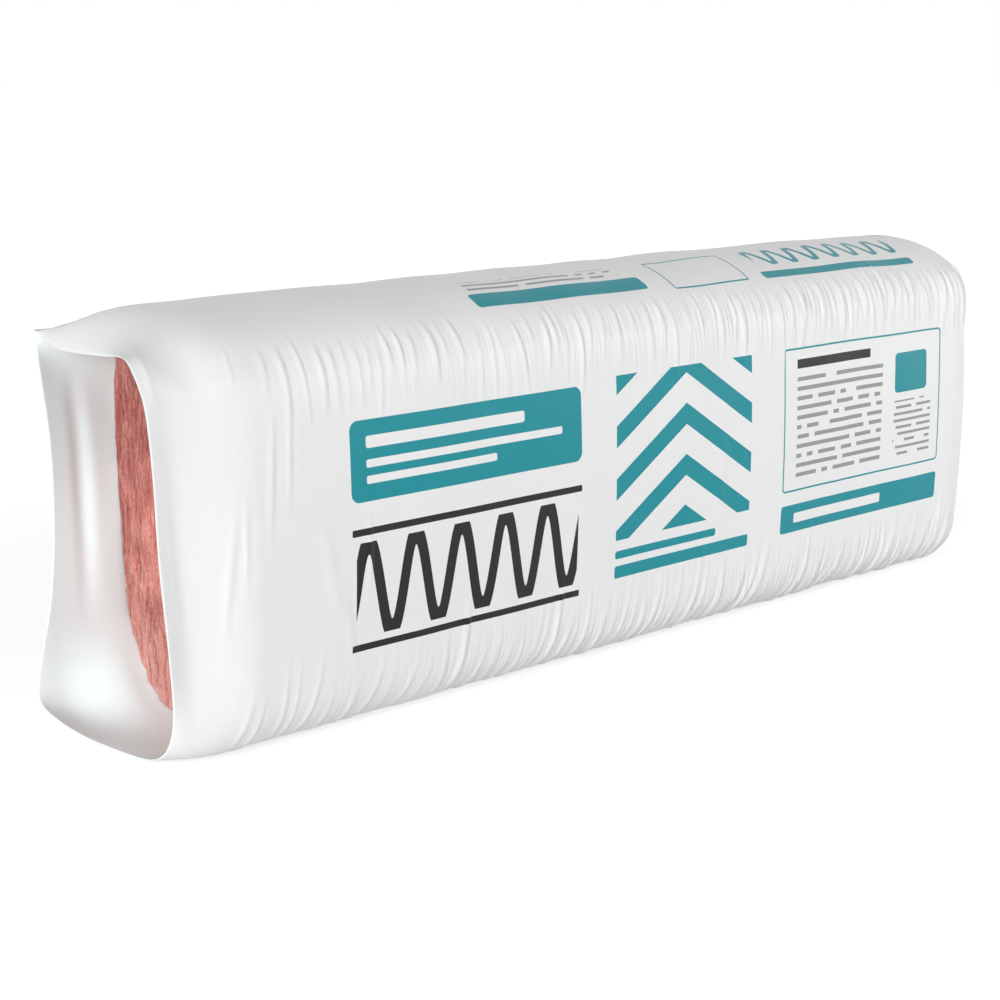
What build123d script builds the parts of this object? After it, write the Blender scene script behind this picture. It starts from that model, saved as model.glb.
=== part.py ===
import os

from build123d import *

# Bag of unfaced fiberglass batts, lying on its long side. Millimetres, +X along the
# batts from the open mouth to the sealed end, +Y to the back, +Z up, resting on z = 0.

# The batts, pressed together into one pack
batt_count = 8
batt_length = 1219.0
pack_depth = 240.4
pack_height = 423.4
pack_dome = 33.0
top_corner_radius = 60.0
base_corner_radius = 60.0

# The film
film_wall = 2.0
film_clearance = 0.3

# The empty sleeve of film past the batts' cut ends
sleeve_reach_front = 126.0
sleeve_reach_back = 94.0
sleeve_trim = 20.0
mouth_depth = 226.0
mouth_top_drop = 30.0
mouth_base_lift = 14.0
mouth_dome = 6.0
mouth_top_radius = 26.0
mouth_base_radius = 36.0

# The heat-sealed fin that closes the far end
fin_reach = 22.0
fin_thickness = 3.0
fin_height = 236.0
fin_corner_radius = 8.0

film_grow = film_clearance + film_wall
bag_depth = pack_depth + 2 * film_grow
pack_base = film_grow
batt_thickness = pack_depth / batt_count
overall_length = sleeve_reach_front + batt_length + film_grow + fin_reach
batt_start = sleeve_reach_front - overall_length / 2
batt_end = batt_start + batt_length
turning_point = batt_end - pack_depth / 2


def outline(x, grow, depth, base, height, dome, top_radius, base_radius):
    """Upright cross-section at x, grown outwards by grow: flat base and sides, domed top."""
    side = depth / 2
    eave = base + height - dome
    with BuildSketch(Plane(origin=(x, 0, 0), x_dir=(0, 1, 0), z_dir=(1, 0, 0))) as section:
        with BuildLine():
            walls = Polyline((-side, eave), (-side, base), (side, base), (side, eave))
            ThreePointArc(walls @ 1, (0, base + height), walls @ 0)
        make_face()
        fillet(section.vertices().group_by(Axis.Y)[-1], top_radius)
        fillet(section.vertices().group_by(Axis.Y)[0], base_radius)
        if grow > 0:
            offset(amount=grow)
    return section.sketch


def pack_outline(x, grow):
    """The pressed pack's outline, the same all along the batts."""
    return outline(x, grow, pack_depth, pack_base, pack_height, pack_dome,
                   top_corner_radius, base_corner_radius)


def mouth_outline(grow):
    """The slack outline of the empty sleeve, a little past where its mouth is trimmed."""
    return outline(batt_start - sleeve_reach_front - sleeve_trim, grow, mouth_depth,
                   pack_base + mouth_base_lift, pack_height - mouth_top_drop - mouth_base_lift,
                   mouth_dome, mouth_top_radius, mouth_base_radius)


def packed_form(grow):
    """The straight run of the pack, then its front half turned round to the back as the far end."""
    with BuildPart() as form:
        add(pack_outline(batt_start, grow))
        extrude(amount=turning_point - batt_start, dir=(1, 0, 0))
        add(split(pack_outline(turning_point, grow), bisect_by=Plane.XZ, keep=Keep.TOP))
        revolve(axis=Axis((turning_point, 0, 0), (0, 0, 1)), revolution_arc=180)
    return form.part


def sleeve_form(grow):
    """The run of film past the batts' cut ends."""
    with BuildPart() as form:
        loft(sections=[mouth_outline(grow), pack_outline(batt_start, grow)])
    return form.part


os.makedirs("parts", exist_ok=True)

# One film bag: outer form and fin less the inner form, trimmed at a slant to open its mouth
mouth_edge = Vector(sleeve_reach_front - sleeve_reach_back, bag_depth, 0)
mouth_corner = (batt_start - sleeve_reach_front, -bag_depth / 2, 0)
mouth_plane = Plane(origin=mouth_corner, x_dir=mouth_edge, z_dir=mouth_edge.cross(Vector(0, 0, 1)))
fin_root = batt_end - fin_reach
fin_length = batt_end + film_grow + fin_reach - fin_root
fin_middle = pack_base + (pack_height - pack_dome) / 2

with BuildPart() as film_bag:
    add(packed_form(film_grow))
    add(sleeve_form(film_grow))
    with BuildSketch(Plane.XZ) as fin_face:
        with Locations((fin_root + fin_length / 2, fin_middle)):
            Rectangle(fin_length, fin_height)
        fillet(fin_face.vertices().group_by(Axis.X)[-1], fin_corner_radius)
    extrude(amount=fin_thickness / 2, both=True)
    add(packed_form(film_clearance), mode=Mode.SUBTRACT)
    add(sleeve_form(film_clearance), mode=Mode.SUBTRACT)
    split(bisect_by=mouth_plane, keep=Keep.TOP)
film_bag.part.label = "film_bag"
export_step(film_bag.part, "parts/film_bag.step")

# The batts, upright slabs pressed face to face from the front of the bag to the back
pack = packed_form(0)
for number in range(1, batt_count + 1):
    slab_middle = (number - (batt_count + 1) / 2) * batt_thickness
    with BuildPart() as batt:
        add(pack)
        with BuildSketch(Plane.XZ.offset(-slab_middle)):
            with Locations((batt_start + batt_length / 2, pack_base + pack_height / 2)):
                Rectangle(2 * batt_length, 2 * pack_height)
        extrude(amount=batt_thickness / 2, both=True, mode=Mode.INTERSECT)
    batt.part.label = f"batt_{number}"
    export_step(batt.part, f"parts/batt_{number}.step")
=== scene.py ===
import math

import bpy
import numpy as np
from mathutils import Matrix, Vector, noise


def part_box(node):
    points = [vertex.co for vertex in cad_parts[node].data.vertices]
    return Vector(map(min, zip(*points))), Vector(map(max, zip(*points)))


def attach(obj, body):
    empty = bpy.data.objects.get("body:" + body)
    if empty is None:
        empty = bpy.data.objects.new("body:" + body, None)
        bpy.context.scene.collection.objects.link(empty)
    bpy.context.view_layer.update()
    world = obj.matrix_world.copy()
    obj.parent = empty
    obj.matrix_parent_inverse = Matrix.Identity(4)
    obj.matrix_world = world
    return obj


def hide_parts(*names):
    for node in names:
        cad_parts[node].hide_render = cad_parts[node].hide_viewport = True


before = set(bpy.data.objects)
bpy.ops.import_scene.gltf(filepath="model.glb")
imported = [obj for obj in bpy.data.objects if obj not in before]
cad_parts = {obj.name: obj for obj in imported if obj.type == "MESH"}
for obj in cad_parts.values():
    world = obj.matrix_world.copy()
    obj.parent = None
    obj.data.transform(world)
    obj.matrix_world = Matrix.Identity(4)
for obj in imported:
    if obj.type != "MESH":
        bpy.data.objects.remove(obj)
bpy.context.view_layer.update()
bagLow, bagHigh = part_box("film_bag")
battNames = sorted(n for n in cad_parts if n.startswith("batt_"))
battBoxes = [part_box(n) for n in battNames]
print("frame loaded with", len(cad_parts), "nodes")

# Places that every piece shares, in metres
battStart = min(low.x for low, high in battBoxes)      # cut ends in the mouth
battEnd = max(high.x for low, high in battBoxes)
battHalfDepth = max(high.y for low, high in battBoxes)
turnX = battEnd - battHalfDepth                        # where the far end starts to turn
halfDepth = bagHigh.y
bagHeight = bagHigh.z
straight = turnX - battStart
toeAlong = straight + halfDepth * math.pi / 2          # along the film from the cut ends to the seal


# Small tools

def deselectAll():
    bpy.ops.object.select_all(action="DESELECT")


def makeActive(piece):
    deselectAll()
    piece.select_set(True)
    bpy.context.view_layer.objects.active = piece


def editAll():
    bpy.ops.object.mode_set(mode="EDIT")
    bpy.ops.mesh.select_all(action="SELECT")


def leaveEdit():
    bpy.ops.object.mode_set(mode="OBJECT")


def sliceAcross(axis, places):
    for place in places:
        bpy.ops.mesh.select_all(action="SELECT")
        bpy.ops.mesh.bisect(plane_co=Vector(axis) * float(place), plane_no=axis)


def getPoints(piece):
    flat = np.empty(len(piece.data.vertices) * 3)
    piece.data.vertices.foreach_get("co", flat)
    return flat.reshape(-1, 3)


def setPoints(piece, points):
    piece.data.vertices.foreach_set("co", np.asarray(points, float).ravel())
    piece.data.update()


def smoothStep(low, high, value):
    t = np.clip((value - low) / (high - low), 0, 1)
    return t * t * (3 - 2 * t)


def newMaterial(name):
    material = bpy.data.materials.new(name)
    material.use_nodes = True
    tree = material.node_tree
    return material, tree, tree.nodes["Principled BSDF"]


def fill(tree, socket, value):
    if isinstance(value, bpy.types.NodeSocket):
        tree.links.new(value, socket)
    else:
        socket.default_value = value


def calc(tree, operation, a, b=None, c=None):
    node = tree.nodes.new("ShaderNodeMath")
    node.operation = operation
    for socket, value in zip(node.inputs, (a, b, c)):
        if value is not None:
            fill(tree, socket, value)
    return node.outputs[0]


def blendColour(tree, share, a, b):
    node = tree.nodes.new("ShaderNodeMix")
    node.data_type = "RGBA"
    fill(tree, node.inputs[0], share)
    fill(tree, node.inputs[6], a)
    fill(tree, node.inputs[7], b)
    return node.outputs[2]


def noiseNode(tree, place, scale, detail, rough=0.5):
    node = tree.nodes.new("ShaderNodeTexNoise")
    fill(tree, node.inputs["Vector"], place)
    node.inputs["Scale"].default_value = scale
    node.inputs["Detail"].default_value = detail
    node.inputs["Roughness"].default_value = rough
    return node.outputs["Fac"]


def stretched(tree, place, scale):
    node = tree.nodes.new("ShaderNodeMapping")
    node.inputs["Scale"].default_value = scale
    tree.links.new(place, node.inputs["Vector"])
    return node.outputs["Vector"]


def splitPlace(tree, place):
    node = tree.nodes.new("ShaderNodeSeparateXYZ")
    tree.links.new(place, node.inputs[0])
    return node.outputs


def joinPlace(tree, x, y):
    node = tree.nodes.new("ShaderNodeCombineXYZ")
    tree.links.new(x, node.inputs[0])
    tree.links.new(y, node.inputs[1])
    return node.outputs[0]


def mapRange(tree, value, fromRange, toRange=(0, 1)):
    node = tree.nodes.new("ShaderNodeMapRange")
    tree.links.new(value, node.inputs["Value"])
    node.inputs["From Min"].default_value, node.inputs["From Max"].default_value = fromRange
    node.inputs["To Min"].default_value, node.inputs["To Max"].default_value = toRange
    return node.outputs["Result"]


def addBump(tree, shader, height, strength, rise):
    bump = tree.nodes.new("ShaderNodeBump")
    bump.inputs["Strength"].default_value = strength
    bump.inputs["Distance"].default_value = rise
    tree.links.new(height, bump.inputs["Height"])
    tree.links.new(bump.outputs["Normal"], shader.inputs["Normal"])


# The film bag: one skin from the inner toe out to the rim and back to the outer toe

filmSet = {
    "columns": 106,                # faces round the girth, closer at the bends
    "bendHeft": 1.5,               # how much closer
    "baseBend": (0.125, 0.06),     # place round the girth and half width of each bend
    "topBend": (0.435, 0.07),
    "ringStep": 0.0018,            # spacing of the outer rings
    "sleeveStep": 0.0027,          # of the inner rings that show in the mouth
    "innerStep": 0.045,            # of the hidden inner rings
    "innerTurns": 9,               # inner rings round the far end
    "weld": 0.00003,
    "wall": 0.002,
    "rimWall": 0.0009,
    "rimThin": 0.6,                # share of the sleeve over which the wall thins
    "sleeve": 0.115,               # mean length of the loose sleeve
    "flatLength": 1.48,            # length of the film laid flat
    "liningOff": 5.0,              # the unprinted inner face lies this far off on the print
    "flatBase": 0.064,             # half the width that lies on the floor
    "baseCorner": 0.058,
    "side": 0.262,
    "sideBow": 9.0,                # degrees that each side wall turns
    "topCorner": 0.064,
    "crownTurn": 29.0,             # degrees from the top's middle to its corner
    "ease": 0.035,                 # length over which the bends run into each other
    "waist": 0.22,                 # share by which the front wall is drawn in further than the rim
    "waistIn": (0.12, 0.92),       # shares of the sleeve where it draws in, then flares
    "waistOut": (0.76, 1.02),
    "waistEnd": 1.004,             # brings the rim back to its own place
    "farDrop": 0.003,              # the squeezed far end sits a little lower
    "farDropRun": (-0.25, 0.03),   # from before the far turn to past it
    "slackCorner": 0.112,          # rounder lower back corner at the mouth
    "slackRun": (0.16, 0.0),       # from the cut ends: fades in from the pack
    "slackFade": (-0.095, -0.02),  # and out again along the sleeve
    "poleCalm": (0.02, 0.09),      # ripples fade to the middle of the far end's top and base
    "turnCalm": 0.2,               # radians of the far turn over which that begins
    "sealCalm": 0.25,              # radians before the seal over which ripples fade
    "rimCalm": (0.02, 0.25),       # shares of the sleeve from the rim
    "rimLeft": 0.2,                # share of the ripples that is left there
    "floorCalm": (0.05, 0.085),    # metres round the girth from the base's middle
    "innerCalm": 0.15,             # share of the sleeve where the inner ripples begin
}

# Rim of the mouth: share of the girth, y, z and reach past the batts' ends
rimKeys = [
    (0.000, 0.004, 0.003, 0.102),
    (0.042, -0.047, 0.003, 0.095),
    (0.070, -0.076, 0.019, 0.0965),
    (0.098, -0.095, 0.052, 0.101),
    (0.150, -0.104, 0.112, 0.1085),
    (0.240, -0.106, 0.208, 0.118),
    (0.310, -0.106, 0.291, 0.122),
    (0.362, -0.104, 0.352, 0.127),
    (0.388, -0.096, 0.381, 0.132),
    (0.410, -0.080, 0.3935, 0.131),
    (0.475, -0.020, 0.388, 0.1155),
    (0.530, 0.060, 0.384, 0.1065),
    (0.556, 0.096, 0.3885, 0.100),
    (0.572, 0.112, 0.3965, 0.0995),
    (0.584, 0.1165, 0.3965, 0.0995),
    (0.600, 0.115, 0.3865, 0.100),
    (0.650, 0.110, 0.345, 0.098),
    (0.700, 0.107, 0.285, 0.0935),
    (0.780, 0.106, 0.206, 0.094),
    (0.840, 0.108, 0.136, 0.099),
    (0.882, 0.112, 0.084, 0.108),
    (0.908, 0.111, 0.047, 0.117),
    (0.930, 0.098, 0.029, 0.1205),
    (0.965, 0.050, 0.012, 0.114),
]

# How late the sleeve is drawn in, by share of the girth
bendKeys = [(0, 3.5), (0.07, 4.0), (0.13, 2.6), (0.30, 2.2), (0.40, 2.4), (0.47, 3.2), (0.53, 5.5),
            (0.58, 8.0), (0.63, 2.0), (0.67, 1.1), (0.83, 1.1), (0.90, 3.0), (1, 3.5)]

# Where the sleeve has a waist instead, on the front wall
wallKeys = [(0, 0), (0.08, 0), (0.14, 1), (0.36, 1), (0.42, 0), (1, 0)]


def halfSection(cfg, count):
    # walks from the middle of the base, out and up the front, to the middle of the top
    bow = math.radians(cfg["sideBow"])
    crown = math.radians(cfg["crownTurn"])
    baseTurn = math.pi / 2 - bow / 2
    topTurn = math.pi / 2 - bow / 2 - crown
    runs = [
        (cfg["flatBase"], 0.0),
        (cfg["baseCorner"] * baseTurn, baseTurn),
        (cfg["side"], bow),
        (cfg["topCorner"] * topTurn, topTurn),
    ]
    step = 0.0005
    heading = [np.zeros(1)]
    for length, turn in runs:
        heading.append(heading[-1][-1] + turn * np.linspace(0, 1, int(length / step))[1:])
    heading = np.concatenate(heading)
    reached = np.cos(heading).sum() * step
    crownLength = reached / math.sin(crown) * crown
    crownRun = heading[-1] + crown * np.linspace(0, 1, int(crownLength / step))[1:]
    heading = np.concatenate([heading, crownRun])
    window = int(cfg["ease"] / step)
    padded = np.concatenate([-heading[window:0:-1], heading, 2 * math.pi - heading[-2:-window - 2:-1]])
    heading = np.convolve(padded, np.ones(window) / window, "same")[window:-window]
    out = np.concatenate([[0], np.cumsum(np.cos(heading)) * step])
    up = np.concatenate([[0], np.cumsum(np.sin(heading)) * step])
    out = out - out[-1] * np.linspace(0, 1, len(out))
    out *= halfDepth / out.max()
    up *= bagHeight / up.max()
    walked = np.concatenate([[0], np.cumsum(np.hypot(np.diff(out), np.diff(up)))])
    bends = sum(np.exp(-((walked - at) / half) ** 4) for at, half in (cfg["baseBend"], cfg["topBend"]))
    heft = np.cumsum(1 + cfg["bendHeft"] * bends)
    stops = np.interp(np.linspace(heft[0], heft[-1], count + 1), heft, walked)
    return np.interp(stops, walked, out), np.interp(stops, walked, up), stops


def smoothLoop(keys, shares):
    # a closed smooth line through the keys, read at shares of the girth
    keys = np.array(keys)
    at = np.concatenate([keys[-2:, 0] - 1, keys[:, 0], keys[:2, 0] + 1])
    points = np.concatenate([keys[-2:, 1:], keys[:, 1:], keys[:2, 1:]])
    slope = (points[2:] - points[:-2]) / (at[2:] - at[:-2])[:, None]
    at, points = at[1:-1], points[1:-1]
    i = np.clip(np.searchsorted(at, shares, "right") - 1, 0, len(at) - 2)
    span = (at[i + 1] - at[i])[:, None]
    t = (shares - at[i])[:, None] / span
    return ((2 * t**3 - 3 * t**2 + 1) * points[i] + (t**3 - 2 * t**2 + t) * span * slope[i]
            + (3 * t**2 - 2 * t**3) * points[i + 1] + (t**3 - t**2) * span * slope[i + 1])


halfCount = filmSet["columns"] // 2
halfOut, halfUp, halfStops = halfSection(filmSet, halfCount)
girth = 2 * halfStops[-1]

# The whole ring: up the front and down the back
ringStops = np.concatenate([halfStops, girth - halfStops[-2::-1]])
ringOut = np.concatenate([halfOut, halfOut[-2::-1]])
ringUp = np.concatenate([halfUp, halfUp[-2::-1]])
ringSide = np.concatenate([-np.ones(halfCount + 1), np.ones(halfCount)])
print("section made, girth", round(girth, 3))


def farSink(x, z):
    start, end = filmSet["farDropRun"]
    return filmSet["farDrop"] * smoothStep(turnX + start, turnX + end, x) * (z / bagHeight) ** 2


def slackCorner(points):
    # at the mouth the lower back corner is slack, and film and wool round off more
    big, small = filmSet["slackCorner"], filmSet["baseCorner"]
    x, y, z = points[..., 0] - battStart, points[..., 1], points[..., 2]
    near = smoothStep(*filmSet["slackRun"], x) * smoothStep(*filmSet["slackFade"], x)
    out = np.maximum(y - (halfDepth - big), 0)
    down = np.maximum(big - z, 0)
    angle = np.arctan2(down, np.maximum(out, 1e-9))
    most = np.maximum(np.cos(angle), np.sin(angle))
    least = np.minimum(np.cos(angle), np.sin(angle))
    reach = (big - small) * (most + least)
    arc = reach + np.sqrt(np.maximum(reach**2 - 2 * (big - small) ** 2 + small**2, 0))
    edge = np.where(big * least / most > big - small, arc, big / most)
    pull = near * (1 - big / edge)
    moved = points.copy()
    moved[..., 1] -= pull * out
    moved[..., 2] += pull * down
    return moved


def filmRings(startX, turn, reach, cfg):
    # rings from the rim to the toe: their places and outward normals
    shares = ringStops / girth
    x = startX[:, None] + ringOut * np.sin(turn)[:, None]
    y = ringSide * ringOut * np.cos(turn)[:, None]
    points = np.stack([x, y, np.broadcast_to(ringUp, x.shape)], -1)

    rim = smoothLoop(rimKeys, shares)
    mouth = np.stack([battStart - rim[:, 2], rim[:, 0], rim[:, 1]], -1)
    pack = np.stack([np.full(len(ringOut), battStart), ringSide * ringOut, ringUp], -1)
    loose = reach > 0
    t = reach[loose][:, None, None]
    late = t ** np.interp(shares, *np.transpose(bendKeys))[None, :, None]
    wall = np.interp(shares, *np.transpose(wallKeys))[None, :, None]
    tight = (1 + cfg["waist"]) * smoothStep(*cfg["waistIn"], t)
    flare = cfg["waist"] * smoothStep(*cfg["waistOut"], t)
    drawnIn = late + wall * ((tight - flare) / cfg["waistEnd"] - late)
    share = np.concatenate([np.broadcast_to(t, late.shape), drawnIn, drawnIn], -1)
    points[loose] = pack + share * (mouth - pack)
    points[..., 2] -= farSink(points[..., 0], points[..., 2])
    points = slackCorner(points)

    along = np.gradient(points, axis=0)
    ring = points[:, :-1]
    around = np.roll(ring, -1, 1) - np.roll(ring, 1, 1)
    around = np.concatenate([around, around[:, :1]], 1)
    normal = np.cross(along, around)
    size = np.linalg.norm(normal, axis=-1, keepdims=True)
    upright = np.stack([0 * ringUp, 0 * ringUp, np.sign(ringUp - bagHeight / 2)], -1)
    normal = np.where(size > 1e-9, normal / np.maximum(size, 1e-9), upright)
    return points, normal


# Ripples where the film is drawn over the shoulders, and creases where it is slack

rippleSet = {
    "seed": 11,
    "spacing": (0.007, 0.019),     # between ripples along the bag
    "spacingNear": 1.75,           # wider at the mouth, closer towards the sealed end
    "spacingDrop": 0.85,
    "width": (0.0022, 0.0042),
    "topEdge": 0.484,              # metres round the girth where the ripples start
    "baseEdge": 0.080,
    "edgeStray": 0.006,
    "topRise": 0.0046,
    "baseRise": 0.0037,
    "leastRise": 0.25,             # share of that rise that every ripple has
    "fewHigh": 1.4,                # above 1, most ripples stay low
    "riseNear": 0.66,              # lower at the mouth, higher towards the sealed end
    "riseGain": 1.35,
    "peakOff": 0.17,               # how far the highest point lies towards the edge
    "topReach": (0.024, 0.048),    # half length round the shoulder
    "baseReach": (0.030, 0.060),
    "baseSlant": 0.16,
    "lean": 0.09,
    "frontFirst": -0.032,          # first ripple on each side, from the cut ends
    "backFirst": 0.012,
    "sealGap": 0.02,               # none so near the seal
    "highest": 0.0052,             # crossing ripples don't pile up past this
    "deepest": 0.0011,             # on the pack, never down to the inner wall
    "trough": 0.28,                # beside each ridge: depth, then place and width in ridge widths
    "troughOff": 1.7,
    "troughWidth": 1.3,
    "span": 5,                     # ridge widths that a crease touches on each side
    "waves": 9,                    # slow unevenness of a hand-filled pack
    "waveRise": 0.00022,
    "waveLength": (0.12, 0.40),
}

# Long shallow ripples that run up both walls near the sealed end
wallRippleSet = {
    "share": 0.24,                 # of the girth, at their middle
    "stray": 0.03,
    "run": (0.01, -0.015),         # from the far turn to the seal
    "pitch": 0.013,
    "reach": (0.06, 0.13),
    "lean": 0.006,
    "width": (0.004, 0.006),
    "rise": (0.0004, 0.0011),
}

# The empty upper corner of the sleeve falls in between pack and rim: depth, place and size
dentSet = {"depth": 0.0075, "along": -0.068, "around": 0.470, "length": 0.024, "width": 0.040}

# Slack creases of the walls and the sleeve: start and end along and round the film, width, rise
slackCreases = [
    ((0.085, 0.21), (0.055, 0.31), 0.0055, 0.0018),
    ((0.100, 0.17), (0.080, 0.25), 0.0042, 0.0015),
    ((0.118, 0.24), (0.117, 0.31), 0.0034, 0.0012),
    ((-0.056, 0.210), (-0.037, 0.340), 0.0036, 0.0016),
    ((-0.031, 0.265), (-0.029, 0.340), 0.0030, 0.0013),
    ((-0.006, 0.300), (0.004, 0.430), 0.0036, 0.0014),
    ((0.018, 0.330), (0.024, 0.440), 0.0032, 0.0012),
    ((-0.098, 0.20), (-0.106, 0.40), 0.004, 0.0008),
    ((0.640, 0.18), (0.655, 0.38), 0.010, 0.0008),
    ((0.860, 0.20), (0.880, 0.36), 0.010, 0.0008),
    ((-0.103, 0.530), (-0.105, 0.420), 0.0035, 0.0022),
    ((-0.010, 0.470), (-0.085, 0.440), 0.006, 0.0020),
    ((-0.072, 0.745), (-0.062, 1.010), 0.012, 0.0035),
]
backShift = 0.02                   # creases past this repeat on the back, moved on by as much


def addCrease(lift, along, around, start, end, width, rise, peak=0.5):
    # a narrow ridge with a shallow trough beside it, highest at a share of its length
    cfg = rippleSet
    run = np.array(end) - np.array(start)
    length = math.hypot(*run)
    low = np.minimum(start, end) - cfg["span"] * width
    high = np.maximum(start, end) + cfg["span"] * width
    rows = np.flatnonzero((along > low[0]) & (along < high[0]))
    cols = np.flatnonzero((around > low[1]) & (around < high[1]))
    if not len(rows) or not len(cols):
        return
    ds = along[rows][:, None] - start[0]
    dg = around[cols][None, :] - start[1]
    share = np.clip((ds * run[0] + dg * run[1]) / length**2, 0, 1)
    off = (ds * run[1] - dg * run[0]) / length
    fade = (share / peak) ** (2 * peak) * ((1 - share) / (1 - peak)) ** (2 - 2 * peak)
    ridge = np.exp(-(off / width) ** 2)
    ridge -= cfg["trough"] * np.exp(-((off / width - cfg["troughOff"]) / cfg["troughWidth"]) ** 2)
    lift[np.ix_(rows, cols)] += rise * fade * ridge


def shoulderRipples(lift, along, around, rng, cfg):
    top = (cfg["topRise"], cfg["topReach"])
    base = (cfg["baseRise"], cfg["baseReach"])
    # edge that the ripples start from, which way they run, their size, slant and the first one
    shoulders = [
        (cfg["topEdge"], -1, top, 0.0, cfg["frontFirst"]),
        (girth - cfg["topEdge"], 1, top, 0.0, cfg["backFirst"]),
        (cfg["baseEdge"], 1, base, cfg["baseSlant"], cfg["frontFirst"]),
        (girth - cfg["baseEdge"], -1, base, -cfg["baseSlant"], cfg["backFirst"]),
    ]
    for edge, way, (rise, reach), slant, s in shoulders:
        while s < toeAlong - cfg["sealGap"]:
            far = s / toeAlong
            half = rng.uniform(*reach)
            centre = edge + rng.normal(0, cfg["edgeStray"]) + way * half
            lean = slant + rng.normal(0, cfg["lean"])
            start = (s - lean * half, centre - half)
            end = (s + lean * half, centre + half)
            width = rng.uniform(*cfg["width"])
            share = cfg["leastRise"] + (1 - cfg["leastRise"]) * rng.uniform() ** cfg["fewHigh"]
            height = rise * share * (cfg["riseNear"] + cfg["riseGain"] * far)
            addCrease(lift, along, around, start, end, width, height, 0.5 - cfg["peakOff"] * way)
            s += rng.uniform(*cfg["spacing"]) * (cfg["spacingNear"] - cfg["spacingDrop"] * far)


def wallRipples(lift, along, around, rng, cfg):
    first, last = cfg["run"]
    for middle in (cfg["share"] * girth, (1 - cfg["share"]) * girth):
        for s in np.arange(straight + first, toeAlong + last, cfg["pitch"]):
            half = rng.uniform(*cfg["reach"])
            centre = middle + rng.normal(0, cfg["stray"])
            start = (s, centre - half)
            end = (s + rng.normal(0, cfg["lean"]), centre + half)
            width = rng.uniform(*cfg["width"])
            addCrease(lift, along, around, start, end, width, rng.uniform(*cfg["rise"]))


def filmWrinkles(along, around, cfg):
    # heights of every ripple and crease over the film, in metres along its normal
    rng = np.random.default_rng(cfg["seed"])
    lift = np.zeros((len(along), len(around)))
    shoulderRipples(lift, along, around, rng, cfg)
    wallRipples(lift, along, around, rng, wallRippleSet)
    for start, end, width, rise in slackCreases:
        addCrease(lift, along, around, start, end, width, rise)
        if start[0] > backShift:
            backStart = (start[0] + backShift, girth - start[1])
            backEnd = (end[0] + backShift, girth - end[1])
            addCrease(lift, along, around, backStart, backEnd, width, rise)
    lift = np.where(lift > 0, cfg["highest"] * np.tanh(lift / cfg["highest"]), lift)

    dentAlong = (along[:, None] - dentSet["along"]) / dentSet["length"]
    dentAround = (around - dentSet["around"]) / dentSet["width"]
    lift -= dentSet["depth"] * np.exp(-dentAlong**2 - dentAround**2)

    for _ in range(cfg["waves"]):
        wave = rng.uniform(*cfg["waveLength"])
        turnsRound = rng.integers(1, 5)
        angle = 2 * math.pi * (along[:, None] / wave + turnsRound * around / girth)
        lift += cfg["waveRise"] * np.sin(angle + rng.uniform(0, 6.28))
    packed = along[:, None] > 0
    return np.where(packed, np.maximum(lift, -cfg["deepest"]), lift)


def calmShare(turn, reach, cfg):
    # share of the ripples that is left near the far end's poles, the seal, the rim and the floor
    curled = smoothStep(0, cfg["turnCalm"], turn)[:, None]
    left = 1 - curled * (1 - smoothStep(*cfg["poleCalm"], ringOut))
    left *= smoothStep(0, cfg["sealCalm"], math.pi / 2 - turn)[:, None]
    left *= smoothStep(*cfg["rimCalm"], 1 - reach)[:, None] * (1 - cfg["rimLeft"]) + cfg["rimLeft"]
    return left * smoothStep(*cfg["floorCalm"], np.minimum(ringStops, girth - ringStops))


def filmFace(cfg, sleeveStep, runStep, turnCount, inside):
    # one face of the film as rings from the rim to the toe, and how far along each ring lies
    shares = np.linspace(1, 0, int(cfg["sleeve"] / sleeveStep) + 1)[:-1]
    run = np.linspace(battStart, turnX, int(straight / runStep) + 1)
    turns = np.linspace(0, math.pi / 2, turnCount)[1:]
    startX = np.concatenate([np.full(len(shares), battStart), run, np.full(len(turns), turnX)])
    turn = np.concatenate([np.zeros(len(shares) + len(run)), turns])
    reach = np.concatenate([shares, np.zeros(len(run) + len(turns))])
    along = (startX - battStart) + turn * halfDepth - reach * cfg["sleeve"]
    points, normal = filmRings(startX, turn, reach, cfg)
    lift = filmWrinkles(along, ringStops, rippleSet) * calmShare(turn, reach, cfg)
    if inside:
        lift *= smoothStep(0, cfg["innerCalm"], reach)[:, None]
        thinner = (cfg["wall"] - cfg["rimWall"]) * smoothStep(0, cfg["rimThin"], reach)
        lift -= (cfg["wall"] - thinner)[:, None]
    face = points + normal * lift[:, :, None]
    face[-1, :, 1] = 0
    return face, along


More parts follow.
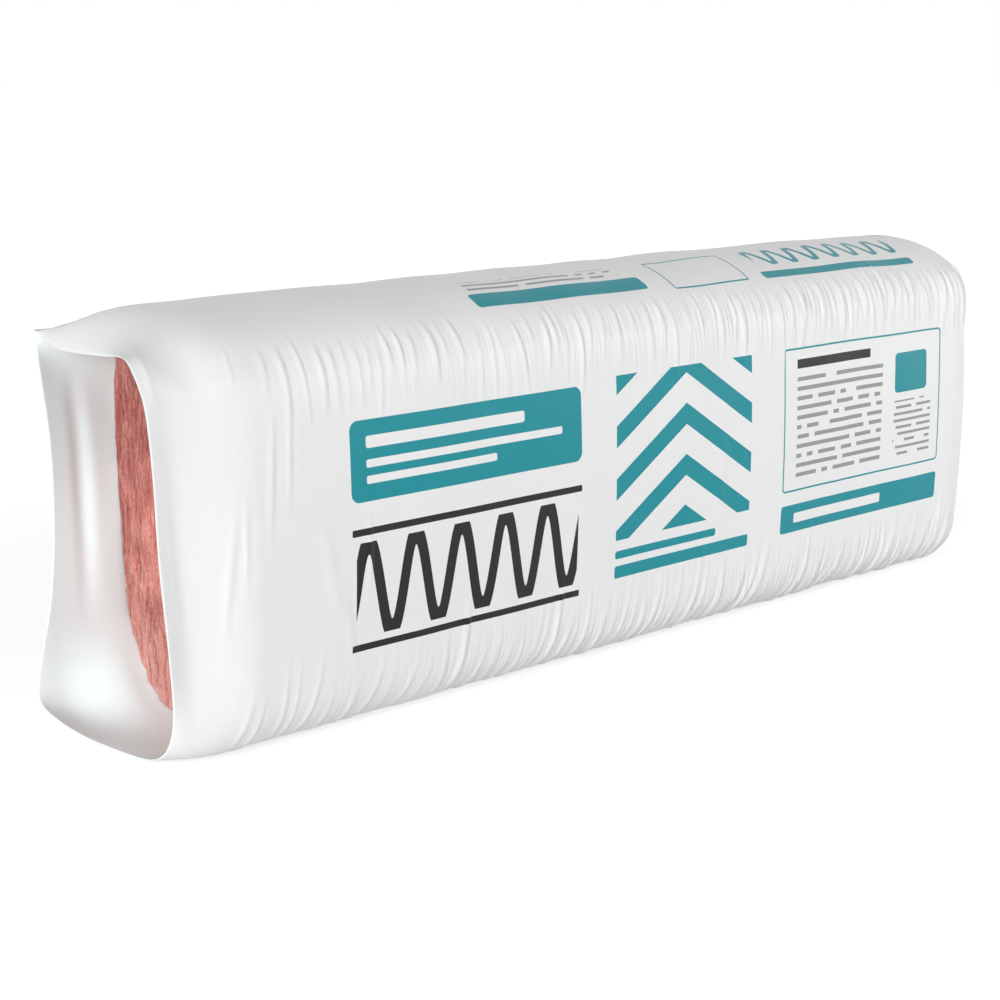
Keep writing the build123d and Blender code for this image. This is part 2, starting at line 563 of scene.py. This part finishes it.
def makeFilm(cfg):
    step = cfg["ringStep"]
    outerTurns = int(halfDepth * math.pi / 2 / step) + 1
    outer, outerAlong = filmFace(cfg, step, step, outerTurns, inside=False)
    inner, innerAlong = filmFace(cfg, cfg["sleeveStep"], cfg["innerStep"], cfg["innerTurns"], inside=True)
    rings = np.concatenate([inner[::-1], outer])
    rings[:, :, 2] = np.maximum(rings[:, :, 2], 0.0)
    metresAlong = np.concatenate([innerAlong[::-1] - cfg["liningOff"], outerAlong])

    # a flat grid is wrapped ring by ring into the bag
    deselectAll()
    bpy.ops.mesh.primitive_grid_add(x_subdivisions=len(rings) - 1, y_subdivisions=cfg["columns"], size=1)
    film = bpy.context.object
    film.name = "printed_film_bag"
    flat = getPoints(film)
    row = np.rint((flat[:, 0] + 0.5) * (len(rings) - 1)).astype(int)
    col = np.rint((flat[:, 1] + 0.5) * cfg["columns"]).astype(int)
    film.data.uv_layers[0].name = "OFBake"
    metres = film.data.uv_layers.new(name="filmMetres", do_init=False)
    corner = np.empty(len(film.data.loops), dtype=np.int32)
    film.data.loops.foreach_get("vertex_index", corner)
    place = np.stack([metresAlong[row], ringStops[col]], -1)
    metres.uv.foreach_set("vector", place[corner].astype(np.float32).ravel())
    setPoints(film, rings[row, col])
    makeActive(film)
    editAll()
    bpy.ops.mesh.remove_doubles(threshold=cfg["weld"])
    leaveEdit()
    bpy.ops.object.shade_smooth()
    return film


film = makeFilm(filmSet)
print("film wrapped:", len(film.data.polygons), "faces")


# The heat-sealed fin down the far end

finSet = {
    "reach": 0.022,
    "root": 0.004,             # how far it stands inside the film
    "height": 0.236,
    "thick": 0.0016,
    "edge": 0.0005,
    "ribs": 34,
    "ribCuts": 4,              # slices over one rib
    "cuts": 8,                 # slices over the reach
    "ribRise": 0.0006,
    "ribRun": (0.25, 0.45),    # shares of the reach where the ribs begin and end
    "ribEnd": (1.0, 0.85),
    "sway": 0.004,
    "ragged": 0.0012,          # unevenness of the cut edge
}


def makeFin(cfg):
    middle = (bagLow.z + bagHigh.z) / 2
    root = bagHigh.x - cfg["reach"] - cfg["root"]
    half = cfg["height"] / 2
    deselectAll()
    bpy.ops.mesh.primitive_cube_add(size=1)
    fin = bpy.context.object
    fin.name = "seal_fin"
    fin.scale = (bagHigh.x - root, cfg["thick"], cfg["height"])
    fin.location = ((bagHigh.x + root) / 2, 0, middle)
    bpy.ops.object.transform_apply(location=True, rotation=True, scale=True)
    editAll()
    bpy.ops.mesh.bevel(offset=cfg["edge"], segments=2)
    sliceAcross((0, 0, 1), np.linspace(middle - half, middle + half, cfg["ribs"] * cfg["ribCuts"] + 1)[1:-1])
    sliceAcross((1, 0, 0), np.linspace(root, bagHigh.x, cfg["cuts"] + 1)[1:-1])
    leaveEdit()

    points = getPoints(fin)
    t = (points[:, 2] - middle) / cfg["height"]
    x = (points[:, 0] - root) / (bagHigh.x - root)
    crimp = np.sin(2 * math.pi * cfg["ribs"] * t)
    crimp *= smoothStep(*cfg["ribRun"], x) * smoothStep(*cfg["ribEnd"], x)
    points[:, 1] += cfg["ribRise"] * crimp + cfg["sway"] * x**2 * np.sin(9 * t + 0.6)
    points[:, 0] -= cfg["ragged"] * x * (1 + np.sin(23 * t + 2) * np.sin(7 * t))
    setPoints(fin, points)
    bpy.ops.object.shade_smooth()
    return fin


fin = makeFin(finSet)
print("fin crimped")


# Glass wool batts: dense fibrous cut ends in the mouth, plain long bodies behind them

battSet = {
    "seed": 5,
    "across": 12,                  # faces over one batt's thickness
    "upward": 150,                 # faces over its height
    "bodyStops": (0.02, 0.06, 0.3, 0.6, 1.0, 1.4, 1.65, 1.82, 1.92),      # past 1 it goes round the far end
    "inset": 0.0006,               # room under the film
    "sideInset": 0.0004,
    "gap": 0.0002,                 # dark slit between neighbours
    "seam": 0.005,                 # how far that slit strays
    "seamScales": (11, 37),
    "bulge": 0.0015,               # how far a cut end swells between its edges
    "bulgeEdge": 0.42,             # share of the thickness over which it swells
    "bulgeTip": 0.03,              # metres of height over which it swells
    "uneven": (-0.00075, 0.0025),  # spread of the cut lengths
    "slump": 0.012,                # how far the tops of the ends lean out of the pack
    "slumpBase": 0.4,              # share of that at the base
    "seat": 0.0009,                # how far a whole end is set back
    "tuft": 0.0030,
    "tuftEdge": 0.12,              # share of the thickness where tufts begin and the groove ends
    "groove": 0.004,               # shaded groove beside the film
    "strands": 360,
    "strandWidth": 0.00038,
    "strandSpread": (0.6, 1.4),
    "strandLength": (0.012, 0.055),
    "strandLean": 0.10,
    "strandSway": 0.0010,
    "strandBow": 0.0018,
    "strandTop": 0.004,            # strands stay this far below the film
}

# Noise that makes the tufts: share, scale over the thickness and the height, seed, shift between batts
tuftLayers = [
    (1.0, 160, 22, 0, 9),
    (0.6, 420, 70, 7, 0),
    (0.8, 40, 9, 31, 0),
]


def packEdges(y, cfg):
    # base and top of the pack at a depth y, inside the film
    inset = filmSet["wall"] + cfg["inset"]
    out = halfOut * (halfDepth - inset) / halfDepth
    low = halfUp < bagHeight / 2
    base = np.interp(np.abs(y), out[low], halfUp[low]) + inset
    top = np.interp(np.abs(y), out[~low][::-1], halfUp[~low][::-1]) - inset
    return base, top


def seamWander(k, z, cfg):
    # none at the two outer walls
    if k in (0, len(battNames)):
        return np.zeros(len(z))
    slow, quick = cfg["seamScales"]
    wander = [noise.noise((zz * slow, k, 3)) + 0.5 * noise.noise((zz * quick, k, 8)) for zz in z]
    return cfg["seam"] * np.array(wander)


def battBlank(name, cfg):
    # a grid for the cut end, with the body drawn out behind it
    deselectAll()
    bpy.ops.mesh.primitive_grid_add(x_subdivisions=cfg["across"], y_subdivisions=cfg["upward"], size=1)
    batt = bpy.context.object
    batt.name = "glass_wool_" + name
    editAll()
    bpy.ops.mesh.region_to_loop()
    for depth in cfg["bodyStops"]:
        bpy.ops.mesh.extrude_edges_move()
        batt.update_from_editmode()
        picked = [v.index for v in batt.data.vertices if v.select]
        leaveEdit()
        for i in picked:
            batt.data.vertices[i].co.z = depth
        bpy.ops.object.mode_set(mode="EDIT")
    bpy.ops.mesh.edge_face_add()
    leaveEdit()
    return batt


def battPlaces(grid, index, faceX, y0, y1, cfg):
    # the blank's points moved to their places in the pack, and which of them are on the cut end
    across, upward, depth = grid[:, 0] + 0.5, grid[:, 1] + 0.5, grid[:, 2]
    y = y0 + across * (y1 - y0)
    turned = np.sqrt(battHalfDepth**2 - y**2) * np.clip(depth - 1, 0, 1)
    base, top = packEdges(np.hypot(y, turned), cfg)
    x = faceX + np.minimum(depth, 1) * (turnX - faceX) + turned
    z = base + upward * (top - base)
    z -= farSink(x, z)

    front = depth == 0
    wander = (1 - across) * seamWander(index, z, cfg) + across * seamWander(index + 1, z, cfg)
    y += np.where(front, wander, 0)
    edge = np.minimum(across, 1 - across)
    tip = np.minimum(upward, 1 - upward) * (top - base)
    slump = cfg["slump"] * (cfg["slumpBase"] + (1 - cfg["slumpBase"]) * upward)
    swell = cfg["bulge"] * smoothStep(0, cfg["bulgeEdge"], edge) * smoothStep(0, cfg["bulgeTip"], tip)
    wool = np.zeros(len(y))
    for share, acrossScale, upScale, seed, shift in tuftLayers:
        wool += share * np.array([
            noise.noise((yy * acrossScale + shift * index, zz * upScale, index + seed))
            for yy, zz in zip(y, z)
        ])
    tufts = cfg["tuft"] * wool * smoothStep(0, cfg["tuftEdge"], edge)
    x += np.where(front, cfg["seat"] - slump - swell - tufts, 0)
    if index in (0, len(battNames) - 1):
        outer = across if index == 0 else 1 - across
        x += np.where(front, cfg["groove"] * (1 - smoothStep(0, cfg["tuftEdge"], outer)), 0)
    return slackCorner(np.stack([x, y, z], -1)), front


def strandMesh(start, length, lean, sway, width, bow, rng):
    # one wandering glass fibre as a thin three-sided tube
    steps = 5
    t = np.linspace(0, 1, steps)
    line = np.stack([
        start[0] - bow * np.sin(math.pi * t) * rng.uniform(0.1, 1.0),
        start[1] + lean * length * t + sway * np.sin(math.pi * t * rng.uniform(0.8, 2.2)),
        start[2] + length * t,
    ], -1)
    thin = width * np.sin(math.pi * (0.08 + 0.84 * t))      # nearly pointed at both ends
    ringAngles = np.array([math.pi, math.pi / 3, -math.pi / 3])
    offset = np.stack([np.cos(ringAngles), np.sin(ringAngles), 0 * ringAngles], -1)
    points = line[:, None, :] + thin[:, None, None] * offset[None, :, :]
    faces = []
    for i in range(steps - 1):
        for k in range(3):
            n = (k + 1) % 3
            faces.append((3 * i + k, 3 * i + n, 3 * i + 3 + n, 3 * i + 3 + k))
    faces.append((2, 1, 0))
    faces.append((3 * steps - 3, 3 * steps - 2, 3 * steps - 1))
    return points.reshape(-1, 3), faces


def looseStrands(surface, y0, y1, rng, cfg):
    # loose fibres over the cut end, as one mesh
    points, faces = [], []
    count = 0
    for _ in range(cfg["strands"]):
        start = surface[rng.integers(len(surface))]
        length = rng.uniform(*cfg["strandLength"])
        if start[2] + length > packEdges(start[1], cfg)[1] - cfg["strandTop"]:
            continue
        lean = rng.normal(0, cfg["strandLean"])
        sway = rng.normal(0, cfg["strandSway"])
        if not y0 < start[1] + lean * length < y1:
            continue
        width = cfg["strandWidth"] * rng.uniform(*cfg["strandSpread"])
        made, quads = strandMesh(start, length, lean, sway, width, cfg["strandBow"], rng)
        points.append(made)
        faces.extend(tuple(count + i for i in quad) for quad in quads)
        count += len(made)
    mesh = bpy.data.meshes.new("strands")
    mesh.from_pydata(np.concatenate(points).tolist(), [], faces)
    strands = bpy.data.objects.new("strands", mesh)
    bpy.context.scene.collection.objects.link(strands)
    return strands


def makeBatt(name, index, cfg):
    low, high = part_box(name)
    rng = np.random.default_rng(cfg["seed"] + index)
    faceX = battStart + rng.uniform(*cfg["uneven"])
    y0 = max(low.y, cfg["sideInset"] - battHalfDepth) + cfg["gap"] / 2
    y1 = min(high.y, battHalfDepth - cfg["sideInset"]) - cfg["gap"] / 2
    batt = battBlank(name, cfg)
    points, front = battPlaces(getPoints(batt), index, faceX, y0, y1, cfg)
    setPoints(batt, points)
    makeActive(batt)
    editAll()
    bpy.ops.mesh.normals_make_consistent(inside=False)
    leaveEdit()
    bpy.ops.object.shade_smooth()

    strands = looseStrands(points[front], y0, y1, rng, cfg)
    makeActive(batt)
    strands.select_set(True)
    bpy.ops.object.join()
    return batt


batts = [makeBatt(name, i, battSet) for i, name in enumerate(battNames)]
print("batts made:", sum(len(b.data.polygons) for b in batts), "faces")


# Printed film: white polyethylene with flat ink, placed in metres along and round the bag

inkSet = {
    "white": (0.86, 0.86, 0.865, 1),
    "dull": (0.76, 0.77, 0.78, 1),         # blended into the white in faint patches
    "dullShare": 0.16,
    "dullScale": 14,
    # inner face: white with a painted cool tint that cancels the pink bounce light from the wool
    "liningPaintedAgainstPinkBounce": (0.805, 0.884, 0.890, 1),
    "teal": (0.003, 0.27, 0.32, 1),
    "black": (0.010, 0.0095, 0.0095, 1),
    "grey": (0.30, 0.31, 0.32, 1),
    "roughness": 0.29,
    "haze": 0.06,                          # added to the roughness in patches
    "hazeScale": 9,
    "gloss": 0.26,
    "clip": 0.001,                         # corner radius of the boxes that patterns end at
    "frameLine": 0.0022,
    "dashLength": 0.011,
    "dashShift": 0.37,                     # between rows, in dashes
    "gatherRise": 0.0042,
    "gatherScale": 120,
    "gatherStretch": (1, 0.07, 1),
    "topGathers": (0.455, 0.055),          # place round the girth and half width
    "baseGathers": (0.120, 0.070),
    "gatherRun": (-0.03, 0.8),             # none on the loose sleeve, full towards the far end
    "drawnRise": 0.03,                     # faint drawn lines, as a share of the gathers
    "drawnScale": 320,
    "drawnStretch": (1, 0.08, 1),
}

# u0, v0, u1, v1 and corner radius of the plain shapes
tealShapes = [
    (0.095, 0.325, 0.415, 0.405, 0.010),
    (0.760, 0.188, 1.080, 0.222, 0.004),
    (0.470, 0.185, 0.700, 0.199, 0.003),
    (0.470, 0.207, 0.640, 0.216, 0.003),
    (0.300, 0.505, 0.560, 0.528, 0.005),
    (0.760, 0.500, 1.060, 0.512, 0.004),
    (0.980, 0.335, 1.050, 0.385, 0.006),
]
tealFrames = [
    (0.760, 0.238, 1.080, 0.410, 0.006),
    (0.600, 0.500, 0.730, 0.560, 0.004),
]
whiteShapes = [
    (0.115, 0.377, 0.330, 0.389, 0.003),
    (0.115, 0.358, 0.385, 0.366, 0.002),
    (0.115, 0.342, 0.290, 0.350, 0.002),
    (0.785, 0.199, 0.960, 0.211, 0.002),
]
blackShapes = [
    (0.095, 0.176, 0.415, 0.183, 0.001),
    (0.095, 0.292, 0.415, 0.299, 0.001),
    (0.785, 0.385, 0.930, 0.396, 0.001),
]

# Box, then pitch and stroke of a looped line
tealLoops = ((0.775, 0.525, 1.060, 0.565), 0.040, 0.007)
blackLoops = ((0.100, 0.190, 0.410, 0.285), 0.062, 0.0125)

# Box, then middle, slope, pitch and stroke of the nested roofs
tealRoofs = ((0.470, 0.228, 0.700, 0.410), 0.585, 0.62, 0.058, 0.024)

# Box, then pitch, inked share of a row and share of dashes left out
greyDashes = [
    ((0.785, 0.255, 0.955, 0.375), 0.0115, 0.42, 0.16),
    ((0.980, 0.255, 1.060, 0.325), 0.0085, 0.40, 0.20),
    ((0.310, 0.536, 0.540, 0.556), 0.0095, 0.40, 0.22),
]


def shapeMask(tree, place, shape):
    u0, v0, u1, v1, corner = shape
    steps = [
        ("SUBTRACT", ((u0 + u1) / 2, (v0 + v1) / 2, 0)),
        ("ABSOLUTE", None),
        ("SUBTRACT", ((u1 - u0) / 2 - corner, (v1 - v0) / 2 - corner, 0)),
        ("MAXIMUM", (0, 0, 0)),
        ("LENGTH", None),
    ]
    value = place
    for operation, operand in steps:
        node = tree.nodes.new("ShaderNodeVectorMath")
        node.operation = operation
        tree.links.new(value, node.inputs[0])
        if operand is not None:
            node.inputs[1].default_value = operand
        value = node.outputs["Value"] if operation == "LENGTH" else node.outputs["Vector"]
    return calc(tree, "LESS_THAN", value, corner)


def clipped(tree, place, mask, box):
    return calc(tree, "MULTIPLY", mask, shapeMask(tree, place, (*box, inkSet["clip"])))


def anyMask(tree, masks):
    total = masks[0]
    for mask in masks[1:]:
        total = calc(tree, "MAXIMUM", total, mask)
    return total


def frameMask(tree, place, shape):
    u0, v0, u1, v1, corner = shape
    line = inkSet["frameLine"]
    inner = (u0 + line, v0 + line, u1 - line, v1 - line, corner - line)
    return calc(tree, "SUBTRACT", shapeMask(tree, place, shape), shapeMask(tree, place, inner))


def loopMask(tree, place, box, pitch, stroke):
    # the looped line that drawings use for insulation
    u0, v0, u1, v1 = box
    u, v, _ = splitPlace(tree, place)
    half = (v1 - v0) / 2
    turns = 2 * math.pi / pitch
    phase = calc(tree, "MULTIPLY", calc(tree, "SUBTRACT", u, u0), turns)
    swing = calc(tree, "MULTIPLY", calc(tree, "SINE", phase), half - stroke / 2)
    slope = calc(tree, "MULTIPLY", calc(tree, "COSINE", phase), half * turns)
    steep = calc(tree, "SQRT", calc(tree, "MULTIPLY_ADD", slope, slope, 1.0))
    off = calc(tree, "SUBTRACT", calc(tree, "SUBTRACT", v, (v0 + v1) / 2), swing)
    off = calc(tree, "DIVIDE", calc(tree, "ABSOLUTE", off), steep)
    return clipped(tree, place, calc(tree, "LESS_THAN", off, stroke / 2), box)


def roofMask(tree, place, box, middle, slope, pitch, stroke):
    # nested roof lines
    u, v, _ = splitPlace(tree, place)
    away = calc(tree, "ABSOLUTE", calc(tree, "SUBTRACT", u, middle))
    height = calc(tree, "MULTIPLY_ADD", away, slope, calc(tree, "SUBTRACT", v, box[1]))
    band = calc(tree, "MODULO", height, pitch)
    return clipped(tree, place, calc(tree, "LESS_THAN", band, stroke), box)


def dashMask(tree, place, box, pitch, inkShare, gapShare):
    # short plain dashes in rows, as fine print looks from afar
    u, v, _ = splitPlace(tree, place)
    row = calc(tree, "DIVIDE", calc(tree, "SUBTRACT", v, box[1]), pitch)
    inRow = calc(tree, "LESS_THAN", calc(tree, "FRACT", row), inkShare)
    rowNumber = calc(tree, "FLOOR", row)
    dash = calc(tree, "DIVIDE", u, inkSet["dashLength"])
    dash = calc(tree, "FLOOR", calc(tree, "MULTIPLY_ADD", rowNumber, inkSet["dashShift"], dash))
    rand = tree.nodes.new("ShaderNodeTexWhiteNoise")
    rand.noise_dimensions = "2D"
    tree.links.new(joinPlace(tree, dash, rowNumber), rand.inputs["Vector"])
    kept = calc(tree, "GREATER_THAN", rand.outputs["Value"], gapShare)
    return clipped(tree, place, calc(tree, "MULTIPLY", inRow, kept), box)


def tentMask(tree, value, middle, half):
    # 1 at the middle, falling to 0 on both sides
    away = calc(tree, "ABSOLUTE", calc(tree, "SUBTRACT", value, middle))
    return calc(tree, "MAXIMUM", calc(tree, "MULTIPLY_ADD", away, -1.0 / half, 1.0), 0.0)


def filmMaterial(cfg):
    material, tree, shader = newMaterial("printed_white_film")
    uvMap = tree.nodes.new("ShaderNodeUVMap")
    uvMap.uv_map = "filmMetres"
    uv = uvMap.outputs["UV"]
    u, around, _ = splitPlace(tree, uv)
    v = calc(tree, "MINIMUM", around, calc(tree, "SUBTRACT", girth, around))
    place = joinPlace(tree, u, v)                  # the back repeats the front
    outside = calc(tree, "GREATER_THAN", u, -filmSet["liningOff"] / 2)

    teal = [shapeMask(tree, place, shape) for shape in tealShapes]
    teal += [frameMask(tree, place, shape) for shape in tealFrames]
    teal += [roofMask(tree, place, *tealRoofs), loopMask(tree, place, *tealLoops)]
    black = [shapeMask(tree, place, shape) for shape in blackShapes]
    black += [loopMask(tree, place, *blackLoops)]
    grey = [dashMask(tree, place, *dashes) for dashes in greyDashes]
    white = [shapeMask(tree, place, shape) for shape in whiteShapes]

    dull = calc(tree, "MULTIPLY", noiseNode(tree, uv, cfg["dullScale"], 3), cfg["dullShare"])
    colour = blendColour(tree, dull, cfg["white"], cfg["dull"])
    # the inner face takes its white with the painted cool tint against the wool's pink bounce light
    colour = blendColour(tree, outside, cfg["liningPaintedAgainstPinkBounce"], colour)
    for masks, ink in ((teal, "teal"), (black, "black"), (grey, "grey"), (white, "white")):
        colour = blendColour(tree, anyMask(tree, masks), colour, cfg[ink])
    tree.links.new(colour, shader.inputs["Base Color"])

    haze = noiseNode(tree, uv, cfg["hazeScale"], 2)
    rough = calc(tree, "MULTIPLY_ADD", haze, cfg["haze"], cfg["roughness"])
    tree.links.new(rough, shader.inputs["Roughness"])
    shader.inputs["Specular IOR Level"].default_value = cfg["gloss"]

    # fine gathers at both bends, faint drawn lines elsewhere
    gathers = noiseNode(tree, stretched(tree, uv, cfg["gatherStretch"]), cfg["gatherScale"], 2, 0.45)
    valleys = calc(tree, "ABSOLUTE", calc(tree, "MULTIPLY_ADD", gathers, 2.0, -1.0))
    ridges = calc(tree, "SUBTRACT", 1.0, valleys)
    topBend = tentMask(tree, v, *cfg["topGathers"])
    baseBend = tentMask(tree, v, *cfg["baseGathers"])
    gathered = calc(tree, "MULTIPLY", ridges, calc(tree, "MAXIMUM", topBend, baseBend))
    gathered = calc(tree, "MULTIPLY", gathered, mapRange(tree, u, cfg["gatherRun"]))
    drawn = noiseNode(tree, stretched(tree, uv, cfg["drawnStretch"]), cfg["drawnScale"], 2)
    fine = calc(tree, "MULTIPLY_ADD", drawn, cfg["drawnRise"], gathered)
    addBump(tree, shader, calc(tree, "MULTIPLY", fine, outside), 1.0, cfg["gatherRise"])
    return material


# Pink glass wool: fine fibres, clumps and specks through one colour ramp, with painted light that makes it
# paler towards the base

woolSet = {
    "dark": (0.28, 0.074, 0.062, 1),
    "middle": (0.45, 0.121, 0.096, 1),
    "light": (0.69, 0.33, 0.28, 1),
    "stops": (0.41, 0.52, 0.65),           # where the three colours stand on the ramp
    "fibreStretch": (1.0, 1.0, 0.34),
    "fibreScale": 560,
    "fibreRough": 0.78,
    "fibreBend": 2.0,
    "fibreShare": 0.65,
    "clumpStretch": (1.0, 1.0, 0.7),
    "clumpScale": 46,
    "clumpShare": 0.13,
    "speckScale": 1500,
    "speckShare": 0.27,
    "paintedLightHeight": 0.24,                    # painted light: paler from here down to the base
    "paintedLightShare": 0.46,
    "roughness": 0.85,
    "gloss": 0.25,
    "sheen": 0.25,
    "bumpStrength": 0.7,
    "bumpRise": 0.002,
}


def woolMaterial(cfg):
    material, tree, shader = newMaterial("pink_glass_wool")
    coords = tree.nodes.new("ShaderNodeTexCoord")
    place = coords.outputs["Object"]
    fibrePlace = stretched(tree, place, cfg["fibreStretch"])
    fibres = noiseNode(tree, fibrePlace, cfg["fibreScale"], 4, cfg["fibreRough"])
    fibres.node.inputs["Distortion"].default_value = cfg["fibreBend"]
    clumps = noiseNode(tree, stretched(tree, place, cfg["clumpStretch"]), cfg["clumpScale"], 3)
    specks = noiseNode(tree, place, cfg["speckScale"], 2)
    # painted light: the wool is paler below this height, as if lit more there, and its upper part darker, as
    # if shaded by the sleeve
    paintedLightDepth = calc(tree, "SUBTRACT", cfg["paintedLightHeight"], splitPlace(tree, place)[2])
    shade = calc(tree, "MULTIPLY", fibres, cfg["fibreShare"])
    shade = calc(tree, "MULTIPLY_ADD", clumps, cfg["clumpShare"], shade)
    shade = calc(tree, "MULTIPLY_ADD", specks, cfg["speckShare"], shade)
    shade = calc(tree, "MULTIPLY_ADD", calc(tree, "MAXIMUM", paintedLightDepth, 0.0), cfg["paintedLightShare"], shade)

    ramp = tree.nodes.new("ShaderNodeValToRGB")
    stops = ramp.color_ramp.elements
    darkStop, middleStop, lightStop = cfg["stops"]
    stops[0].position = darkStop
    stops[0].color = cfg["dark"]
    stops[1].position = lightStop
    stops[1].color = cfg["light"]
    stops.new(middleStop).color = cfg["middle"]
    tree.links.new(shade, ramp.inputs[0])
    tree.links.new(ramp.outputs[0], shader.inputs["Base Color"])
    shader.inputs["Roughness"].default_value = cfg["roughness"]
    shader.inputs["Specular IOR Level"].default_value = cfg["gloss"]
    shader.inputs["Sheen Weight"].default_value = cfg["sheen"]
    addBump(tree, shader, fibres, cfg["bumpStrength"], cfg["bumpRise"])
    return material


filmFinish = filmMaterial(inkSet)
woolFinish = woolMaterial(woolSet)
for piece in (film, fin):
    piece.data.materials.clear()
    piece.data.materials.append(filmFinish)
    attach(piece, "root")
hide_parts("film_bag")
for name, batt in zip(battNames, batts):
    batt.data.materials.clear()
    batt.data.materials.append(woolFinish)
    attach(batt, "root")
    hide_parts(name)
print("finishes laid on")


# Floor, lights and camera

stageSet = {
    "floor": 60.0,
    "floorGrey": (0.65, 0.65, 0.65, 1),
    "floorRough": 0.9,
    "floorGlow": (0.60, 0.97),     # white that only the camera and mirrored rays see, at the bag and far off
    "floorRun": (0.8, 3.5),        # metres from the bag over which it grows
    "world": 0.335,
}

# Name, place, aim, size and power
softboxes = [
    ("keySoftbox", (-5.2, -3.0, 1.2), (-0.2, 0, 0.2), (2.4, 2.4), 230.0),
    ("frontSoftbox", (1.2, -3.2, 0.8), (0.2, 0, 0.2), (2.2, 1.2), 9.0),
    ("rightSoftbox", (2.4, -1.2, 0.7), (0.5, 0, 0.25), (1.0, 0.8), 9.5),
    ("nearSoftbox", (0.9, -1.7, 0.6), (0.55, 0, 0.25), (0.8, 0.6), 4.4),
    ("backSoftbox", (-0.6, 4.4, 1.2), (0, 0, 0.2), (2.2, 1.4), 14.0),
    ("topSoftbox", (0, 0, 3.0), (0, 0, 0.4), (2.0, 1.4), 3.0),
    ("sleeveSoftbox", (-0.592, 0.030, 0.20), (-0.605, 0.12, 0.20), (0.012, 0.12), 0.024),
    ("mouthSoftbox", (-0.95, -0.03, 0.10), (-0.6, 0.1, 0.14), (0.25, 0.16), 0.44),
]

cameraSet = {
    "place": (-1.73065, -1.621, 0.660),
    "yaw": -44.35,
    "pitch": 77.86,
    "roll": 0.15,
    "lens": 75.24,
    "sensor": 36,
}


def backdropRays(tree):
    # rays from the camera, and mirrored or bent ones, which show the backdrop too
    rays = tree.nodes.new("ShaderNodeLightPath")
    total = calc(tree, "ADD", rays.outputs["Is Camera Ray"], rays.outputs["Is Glossy Ray"])
    total = calc(tree, "ADD", total, rays.outputs["Is Transmission Ray"])
    return calc(tree, "MINIMUM", total, 1.0)


def makeFloor(cfg):
    deselectAll()
    bpy.ops.mesh.primitive_plane_add(size=cfg["floor"], location=(0, 0, 0))
    floor = bpy.context.object
    floor.name = "studio_floor"
    material, tree, shader = newMaterial("pale_floor")
    shader.inputs["Base Color"].default_value = cfg["floorGrey"]
    shader.inputs["Roughness"].default_value = cfg["floorRough"]
    coords = tree.nodes.new("ShaderNodeTexCoord")
    away = tree.nodes.new("ShaderNodeVectorMath")
    away.operation = "LENGTH"
    tree.links.new(coords.outputs["Object"], away.inputs[0])
    glow = mapRange(tree, away.outputs["Value"], cfg["floorRun"], cfg["floorGlow"])
    shader.inputs["Emission Color"].default_value = (1, 1, 1, 1)
    seen = calc(tree, "MULTIPLY", backdropRays(tree), glow)
    tree.links.new(seen, shader.inputs["Emission Strength"])
    floor.data.materials.append(material)


def makeWorld(cfg):
    world = bpy.data.worlds.new("studio")
    bpy.context.scene.world = world
    world.use_nodes = True
    tree = world.node_tree
    back = tree.nodes["Background"]
    back.inputs["Color"].default_value = (1, 1, 1, 1)
    strength = calc(tree, "MULTIPLY_ADD", backdropRays(tree), 1.0 - cfg["world"], cfg["world"])
    tree.links.new(strength, back.inputs["Strength"])


def addSoftbox(name, place, aim, size, power):
    light = bpy.data.lights.new(name, "AREA")
    light.shape = "RECTANGLE"
    light.size, light.size_y = size
    light.energy = power
    box = bpy.data.objects.new(name, light)
    bpy.context.scene.collection.objects.link(box)
    box.location = place
    box.visible_camera = False
    box.rotation_euler = (Vector(aim) - Vector(place)).to_track_quat("-Z", "Y").to_euler()


def makeCamera(cfg):
    data = bpy.data.cameras.new("camera")
    data.lens = cfg["lens"]
    data.sensor_width = cfg["sensor"]
    camera = bpy.data.objects.new("camera", data)
    bpy.context.scene.collection.objects.link(camera)
    yaw = Matrix.Rotation(math.radians(cfg["yaw"]), 4, "Z")
    pitch = Matrix.Rotation(math.radians(cfg["pitch"]), 4, "X")
    roll = Matrix.Rotation(math.radians(cfg["roll"]), 4, "Z")
    camera.location = cfg["place"]
    camera.rotation_euler = (yaw @ pitch @ roll).to_euler()
    bpy.context.scene.camera = camera


makeFloor(stageSet)
makeWorld(stageSet)
for softbox in softboxes:
    addSoftbox(*softbox)
makeCamera(cameraSet)
bpy.context.scene.view_settings.view_transform = "Standard"
print("stage and camera set")
